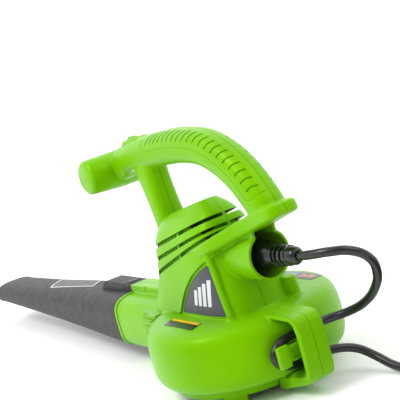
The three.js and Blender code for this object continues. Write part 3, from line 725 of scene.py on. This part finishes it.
# Badges. A slate ABS plate with four raised bars, printed in pale ink, is snapped into a bed in
# each side of the motor tower.
slate_plate = moulded("satin_slate_plate", "#3A3B43", "#42434C", (0.36, 0.5), 1.2, 0.012)
pale_ink = moulded("pad_printed_ink", "#C9CCD0", "#D6D8DA", (0.4, 0.5), 0.6, 0.006)
badge_bars = [
    [(4 + 9 * k, 104), (10 + 9 * k, 104), (15 + 9 * k, 122 + 4 * k), (9 + 9 * k, 122 + 4 * k)] for k in range(4)
]
for name, side, node in (("badge_plate_left", 1, "badge_left"), ("badge_plate_right", -1, "badge_right")):
    bm = bmesh.new()
    on_tower(spread(badge_outline, 0.985), 0.35, 3.6)(bm)
    skin = as_object(name, bm)
    carve(
        skin, "DIFFERENCE", lambda bm: tower_form(bm, 0.6),
        lambda bm: bar(bm, *(sorted((-side * 80, side * 8))), -60, 100, 60, 200),
    )
    finish(soften(skin), slate_plate, "root", "slate", node)
    bm = bmesh.new()
    for outline in badge_bars:
        plate(bm, outline, side * 20, side * 60, 0.8)
    bars = carve(as_object(name + "_bars", bm), "DIFFERENCE", lambda bm: tower_form(bm, -0.3))
    bm = bmesh.new()
    tower_form(bm, -0.55)
    swollen = as_object("swollen", bm)
    carve(bars, "INTERSECT", lambda bm: bm.from_mesh(swollen.data))
    bpy.data.objects.remove(swollen)
    finish(soften(bars), pale_ink, "root", "slate")

# Labels. Thin gloss films, printed with plain shapes, are stuck to the top of the fan casing and
# to the blower tube.
def slab(bm, outline, z0, z1, rounding=0):
    """A flat plate with an (x, y) outline between two heights."""
    plate(bm, outline, z0, z1, rounding)
    turn = Matrix(((0, 1, 0, 0), (0, 0, 1, 0), (1, 0, 0, 0), (0, 0, 0, 1)))
    bmesh.ops.transform(bm, matrix=turn, verts=bm.verts)


def film(name, form, outline, lift, material, body="root", slot="slate"):
    """A film as thin as its lift on top of a form, with an (x, y) outline."""
    bm = bmesh.new()
    form(bm, -lift)
    made = as_object(name, bm)
    carve(made, "INTERSECT", lambda bm: slab(bm, outline, 60, 120, 1.5))
    carve(made, "DIFFERENCE", lambda bm: form(bm, 0.6))
    return finish(soften(made), material, body, slot)


black_film = moulded("gloss_black_label_film", "#17181A", "#1E1F22", (0.22, 0.34), 0.8, 0.004)
yellow_film = moulded("gloss_yellow_label_ink", "#E3B505", "#EDBE0A", (0.24, 0.36), 0.8, 0.004)
orange_film = moulded("gloss_orange_label_ink", "#E0720B", "#EA7C12", (0.24, 0.36), 0.8, 0.004)
blue_film = moulded("gloss_blue_label_ink", "#2B5E9E", "#3468AA", (0.24, 0.36), 0.8, 0.004)
white_film = moulded("gloss_white_label_film", "#DADCDD", "#E4E6E7", (0.24, 0.36), 0.8, 0.004)
film("label_left", volute_form, [(78, -22), (61, -28), (60, 33), (77, 37)], 0.4, black_film)
film("label_left_band", volute_form, [(66, -24), (61.6, -26.4), (60.8, 32), (66, 33.4)], 0.5, yellow_film)
film("label_right", volute_form, [(-84, -36), (-104, -34), (-106, 46), (-84, 52)], 0.4, black_film)
film("label_right_blue", volute_form, [(-86, -10), (-100, -8), (-101, 14), (-86, 16)], 0.5, blue_film)
film("label_right_white", volute_form, [(-89, -4), (-97, -3), (-97, 9), (-89, 10)], 0.6, white_film)
film("label_right_orange_a", volute_form, [(-87, 22), (-100, 24), (-94, 34)], 0.5, orange_film)
film("label_right_orange_b", volute_form, [(-87, 38), (-100, 34), (-96, 46)], 0.5, orange_film)

# Intake base. A ring on four feet with a grille of twelve spokes, moulded in the same green, is
# screwed under the fan casing.
def turned(bm, profile, count=120):
    """A closed body of revolution about the Z axis from radii and heights, bottom to top."""
    close_over(bm, [ring(bm, (0, 0, z), ACROSS, ALONG, r, r, 2, count) for r, z in profile])


bm = bmesh.new()
turned(bm, [(84, 8.6), (85.4, 9.2), (86, 10.4), (86, 15.4), (86.4, 16), (88.2, 16.3), (88.8, 17), (88.8, 20.3)])
base = as_object("intake_ring", bm)
carve(base, "DIFFERENCE", lambda bm: rod(bm, (0, 0, 0), (0, 0, 30), 80, sides=120))
for radius in (34, 60):
    hoop = bmesh.new()
    rod(hoop, (0, 0, 9), (0, 0, 13.4), radius + 1.6, sides=80)
    hoop = carve(
        as_object("hoop", hoop), "DIFFERENCE",
        lambda bm: rod(bm, (0, 0, 8), (0, 0, 14), radius - 1.6, sides=80),
    )
    carve(base, "UNION", lambda bm: bm.from_mesh(hoop.data))
    bpy.data.objects.remove(hoop)
for k in range(12):
    turn = Matrix.Rotation(math.radians(30 * k + 15), 4, "Z")
    carve(base, "UNION", lambda bm: (
        bar(bm, 10, 82, -1.3, 1.3, 9, 13.4), bmesh.ops.transform(bm, matrix=turn, verts=bm.verts),
    ))
for k in range(4):
    turn = Matrix.Rotation(math.radians(90 * k + 45), 4, "Z")
    carve(base, "UNION", lambda bm: (
        bar(bm, 75, 84, -13, 13, 0, 12), bmesh.ops.transform(bm, matrix=turn, verts=bm.verts),
    ))
carve(base, "UNION", lambda bm: turned(bm, [(14, 0), (15, 1), (15, 13), (14, 14)], 48))
carve(base, "DIFFERENCE", lambda bm: plate(
    bm, [(70, -5), (150, -5), (150, 24), (83.5, 24), (83.5, 3), (70, 3)], -17.4, 17.4,
))
finish(soften(base), green_abs, "root", "green_shell", "intake_base")

# Blower tube. Charcoal polypropylene, matt from a fine spark-eroded grain, tapers from the wide
# collar that slides over the duct to a low oval tip with a rolled lip.
tube_rows = [
    (-216.3, 57.3, 48.6, 35.8, 4), (-262, 56.6, 46.6, 35, 3.7), (-335, 55.8, 43.4, 33.8, 3.2),
    (-410, 55.1, 41.4, 31.2, 2.9), (-560, 54.8, 39.4, 25.2, 2.7), (-700, 54.8, 38.3, 20.2, 2.7),
    (-764, 54.8, 38, 17.9, 2.8),
]


def tube_form(bm, inset, front=-764, rear=-216.3):
    rows = [row for row in smoothed(tube_rows, 8) if front <= row[0] <= rear]
    close_over(bm, [
        ring(bm, (0, y, z), ACROSS, UP, w - inset, h - inset, power, 96) for y, z, w, h, power in rows
    ])


def tube_bore(bm):
    rows = smoothed(tube_rows, 8)
    rows = [row for row in rows if row[0] < -257] + [[-765] + list(rows[-1][1:])]
    rows.sort()
    close_over(bm, [
        ring(bm, (0, y, z), ACROSS, UP, w - 2.4, h - 2.4, power, 96) for y, z, w, h, power in rows
    ])


bm = bmesh.new()
tube_form(bm, 0)
tube = as_object("tapered_tube", bm)


def collar_block(bm):
    plate(bm, [(-216.5, 80), (-216.5, RIDGE_TOP), (-296, 103.2), (-304, 101.5), (-322, 87), (-318, 80)], -14, 14, 1.2)
    bmesh.ops.bevel(
        bm, geom=[e for e in bm.edges if abs(e.verts[0].co.x - e.verts[1].co.x) < 1e-6 and e.verts[0].co.z > 0.084],
        offset=1.6 * MM, affect="EDGES", segments=3, profile=0.5, material=-1,
    )


def lip(bm):
    close_over(bm, [
        ring(bm, (0, y, 54.8), ACROSS, UP, 38 + grow, 17.9 + grow, 2.8, 96)
        for y, grow in ((-764, 0), (-763.4, 0.5), (-761.5, 0.8), (-759.5, 0.5), (-758.8, 0.1))
    ])


carve(tube, "UNION", collar_block, lip, lambda bm: duct_form(bm, -1.1, -222, -216.4))
carve(
    tube, "DIFFERENCE", tube_bore, lambda bm: duct_form(bm, 2.7, -257, -214),
    lambda bm: bar(bm, -10, 10, -236.4, -212, 86, 98.5),
    lambda bm: bar(bm, -10, 10, -236.4, -223.6, 82, 106),
)
charcoal = moulded("grained_charcoal_polypropylene", "#252324", "#2C2A2B", (0.5, 0.62), 0.7, 0.03, 1.47)
finish(soften(tube), charcoal, "root", "charcoal_tube", "blower_tube")

tube_mark = [(19, -519), (-21, -558), (-27, -400), (7, -364)]
film("tube_label", tube_form, tube_mark, 0.4, white_film, slot="charcoal_tube")
dark_print = moulded("matt_charcoal_label_print", "#3B393B", "#434143", (0.4, 0.5), 0.8, 0.004)
film("tube_label_field", tube_form, [
    (17.2, -516.5), (-19.8, -552.5), (-25.2, -401), (5.6, -368.5),
], 0.5, dark_print, slot="charcoal_tube")

# Tube latch. A black acetal catch on a sprung arm rises out of the slot in the tube's collar, and
# presses down to let the tube off the duct.
bm = bmesh.new()
plate(bm, [(-235.4, 94), (-235.4, 103), (-234.4, 104.5), (-229, 104.5), (-224.6, 102), (-224.6, 96.4),
           (-208.4, 96.4), (-208.4, 94)], -8.9, 8.9)
bmesh.ops.bevel(bm, geom=bm.edges, offset=0.7 * MM, affect="EDGES", segments=3, profile=0.5, material=-1)
latch = as_object("latch_catch", bm)
black_acetal = moulded("gloss_black_acetal", "#121213", "#19191B", (0.22, 0.34), 1, 0.008)
finish(soften(latch), black_acetal, "tube_latch", "black_plastic", "tube_latch")

# Switch slider. A low button with a thumb ridge, moulded in the same green ABS as the shells, runs
# in the well on top of the grip.
bm = bmesh.new()
plate(bm, [(-129.6, 286.9), (-129.6, 297.6), (-128.6, 298.4), (-124, 299), (-122.4, 300.8), (-120.6, 300.9),
           (-119, 299.6), (-114.4, 299.8), (-113.4, 298.8), (-113.4, 286.9)], -4.6, 4.6)
bmesh.ops.bevel(bm, geom=bm.edges, offset=0.5 * MM, affect="EDGES", segments=3, profile=0.5, material=-1)
slider = as_object("switch_slider", bm)
finish(soften(slider), green_abs, "switch_button", "green_shell", "switch_button")

# Cord connector. The cord's moulded female plug, gloss black PVC, sits in the shroud on two blades,
# and its ringed tail is the strain relief.
connector_rows = [
    (67.4, 13.6, 13.2), (68.4, 14.8, 14.4), (70, 15.4, 15), (76, 15.7, 15.3), (98, 15.8, 15.4),
    (105, 14.8, 14.4), (112, 12.8, 12.5), (117, 11.6, 11.4), (119.6, 11.2, 11.2),
    (120.2, 9.4, 9.4), (122.2, 9.4, 9.4), (122.8, 11.6, 11.6), (126.6, 11.6, 11.6),
    (127.2, 9.2, 9.2), (129.2, 9.2, 9.2), (129.8, 11.2, 11.2), (133.4, 11.2, 11.2),
    (134, 9, 9), (136, 9, 9), (136.6, 10.8, 10.8), (140, 10.8, 10.8),
    (140.8, 9.6, 9.6), (149, 9.4, 9.4), (150.6, 8.6, 8.6), (153.9, 6.1, 6.1),
]
bm = bmesh.new()
close_over(bm, [
    ring(bm, (0, y, SHROUD_HEIGHT), ACROSS, UP, a, b, 2.2 if y < 112 else 2) for y, a, b in connector_rows
])
connector = as_object("cord_connector", bm)
for side in (1, -1):
    carve(connector, "DIFFERENCE", lambda bm: bar(
        bm, *(sorted((side * 5.6, side * 7.7))), 60, 84.3, SHROUD_HEIGHT - 3.5, SHROUD_HEIGHT + 3.5,
    ))
gloss_pvc = moulded("gloss_black_moulded_pvc", "#0A0A0B", "#111113", (0.14, 0.24), 2, 0.01)
finish(soften(connector, 50), gloss_pvc, "root", "black_plastic", "connector_body")

# Plug. A three-pin plug of gloss black PVC, with a ringed neck as its strain relief, is moulded
# onto the far end of the cord and lies beside the coil.
plug_rows = [
    (-200, 6.4, 6.4), (-203, 7, 7), (-205, 7, 7), (-205.6, 6, 6), (-207.6, 6, 6), (-208.2, 7.6, 7.4),
    (-211, 7.8, 7.6), (-211.6, 6.4, 6.4), (-213.6, 6.6, 6.5), (-214.2, 8.4, 8), (-218, 9, 8.4), (-222, 11, 9.4),
    (-226, 13, 10.5), (-230, 15, 12.5), (-240, 15.5, 13), (-252, 15.5, 13), (-253.4, 15, 12.5), (-254, 14, 11.5),
]
bm = bmesh.new()
close_over(bm, [
    ring(bm, (x, 164.5, 13.2), ALONG, UP, a, b, 2.6 if x < -220 else 2.1) for x, a, b in plug_rows
])
plug = as_object("cord_plug", bm)
for y in (-6, 6):
    carve(plug, "DIFFERENCE", lambda bm: bar(bm, -256, -241.7, 163.4 + y, 165.6 + y, 9.5, 16.5))
carve(plug, "DIFFERENCE", lambda bm: rod(bm, (-256, 164.5, 21), (-241.7, 164.5, 21), 2.6, sides=24))
finish(soften(plug, 50), gloss_pvc, "root", "black_plastic", "plug_body")

# Coil tie. A woven nylon hook-and-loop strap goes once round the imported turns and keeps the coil
# together.
bm = bmesh.new()
middle = (COIL_CENTRE[1] - COIL_RADIUS, COIL_CENTRE[2])
rod(bm, (-176, *middle), (-160, *middle), 31.8, sides=96)
bmesh.ops.bevel(bm, geom=bm.edges, offset=0.35 * MM, affect="EDGES", segments=2, profile=0.5, material=-1)
tie = as_object("hook_and_loop_tie", bm)
carve(tie, "DIFFERENCE", lambda bm: rod(bm, (-178, *middle), (-158, *middle), 30.5, sides=96))
strap = moulded("woven_nylon_strap", "#1B1C1E", "#26272A", (0.7, 0.85), 0.9, 0.25)
finish(soften(tie), strap, "root", "tie_strap", "coil_tie")

# Fan, motor and fittings. These stay as the CAD makes them, each in the finish of the real part.
bare = {
    "bright_turned_steel": (
        ("#A6A9AC", "#B4B7BA", (0.2, 0.34), 0.5, 0.006, 2.5, 1),
        ("impeller_nut", "motor_shaft", "lower_bearing", "upper_bearing") + tuple(
            f"housing_screw_{k}" for k in range(1, 9)
        ),
    ),
    "stacked_silicon_iron": (
        ("#5F6266", "#74777B", (0.45, 0.62), 0.5, 0.04, 2.6, 1),
        ("motor_frame", "armature_core", "stator_core"),
    ),
    "enamelled_copper_wire": (
        ("#9A4E20", "#B5652F", (0.25, 0.4), 0.9, 0.2, 1.6, 1),
        ("armature_winding_lower", "armature_winding_upper", "field_winding_lower", "field_winding_upper",
         "commutator"),
    ),
    "stamped_brass": (
        ("#B8923F", "#C9A24C", (0.22, 0.36), 0.6, 0.008, 1.5, 1),
        ("brush_holder_left", "brush_holder_right", "inlet_blade_left", "inlet_blade_right",
         "plug_pin_1", "plug_pin_2", "plug_pin_3"),
    ),
    "pressed_carbon": (("#1E1F21", "#28292C", (0.55, 0.7), 0.3, 0.02, 1.7, 0), ("brush_left", "brush_right")),
    "moulded_phenolic": (("#241F1C", "#2E2825", (0.4, 0.55), 1.1, 0.012, 1.6, 0), ("inlet_body", "switch_body")),
    "pvc_insulated_wire": (
        ("#101011", "#19191B", (0.35, 0.5), 1.2, 0.01, 1.5, 0), ("lead_to_switch", "lead_to_motor"),
    ),
    "glass_filled_black_nylon": (
        ("#141415", "#1C1C1E", (0.42, 0.58), 0.6, 0.03, 1.53, 0), ("impeller", "motor_plate"),
    ),
}
for name, (look, nodes) in bare.items():
    material = moulded(name, *look)
    for node in nodes:
        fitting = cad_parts[node]
        fitting.data.materials.clear()
        fitting.data.materials.append(material)

# Studio. A seamless white floor and sky, a soft lamp over the left side and one behind.
bm = bmesh.new()
bmesh.ops.create_grid(bm, x_segments=1, y_segments=1, size=12)
floor = as_object("studio_floor", bm)
floor.data.materials.append(moulded("matt_studio_floor", "#FAFAFA", "#FDFDFD", (0.75, 0.85), 40, 0.01))
world = bpy.data.worlds.new("studio")
world.use_nodes = True
sky = world.node_tree.nodes["Background"]
sky.inputs["Color"].default_value = linear("#FFFFFF")
toward = add_node(world, "ShaderNodeTexCoord", {}).outputs["Generated"]
facing = add_node(world, "ShaderNodeVectorMath", {0: toward, 1: (-0.5, -0.86, 0)}, operation="DOT_PRODUCT")
level_of_light = add_node(world, "ShaderNodeMapRange", {
    "Value": facing.outputs["Value"], "From Min": -0.8, "From Max": 0.3, "To Min": 0.42, "To Max": 1.5,
})
world.node_tree.links.new(level_of_light.outputs["Result"], sky.inputs["Strength"])
bpy.context.scene.world = world
bpy.context.scene.view_settings.view_transform = "Standard"


def lamp(name, place, aim, size, power):
    data = bpy.data.lights.new(name, "AREA")
    data.shape = "DISK"
    data.size = size
    data.energy = power
    made = bpy.data.objects.new(name, data)
    made.location = place
    made.rotation_euler = (Vector(aim) - Vector(place)).to_track_quat("-Z", "Y").to_euler()
    bpy.context.scene.collection.objects.link(made)


lamp("key_softbox", (1.3, -0.1, 1.7), (0, 0, 0.15), 0.9, 24)
lamp("back_softbox", (-0.6, 1.2, 1.6), (0, 0, 0.15), 1.0, 8)
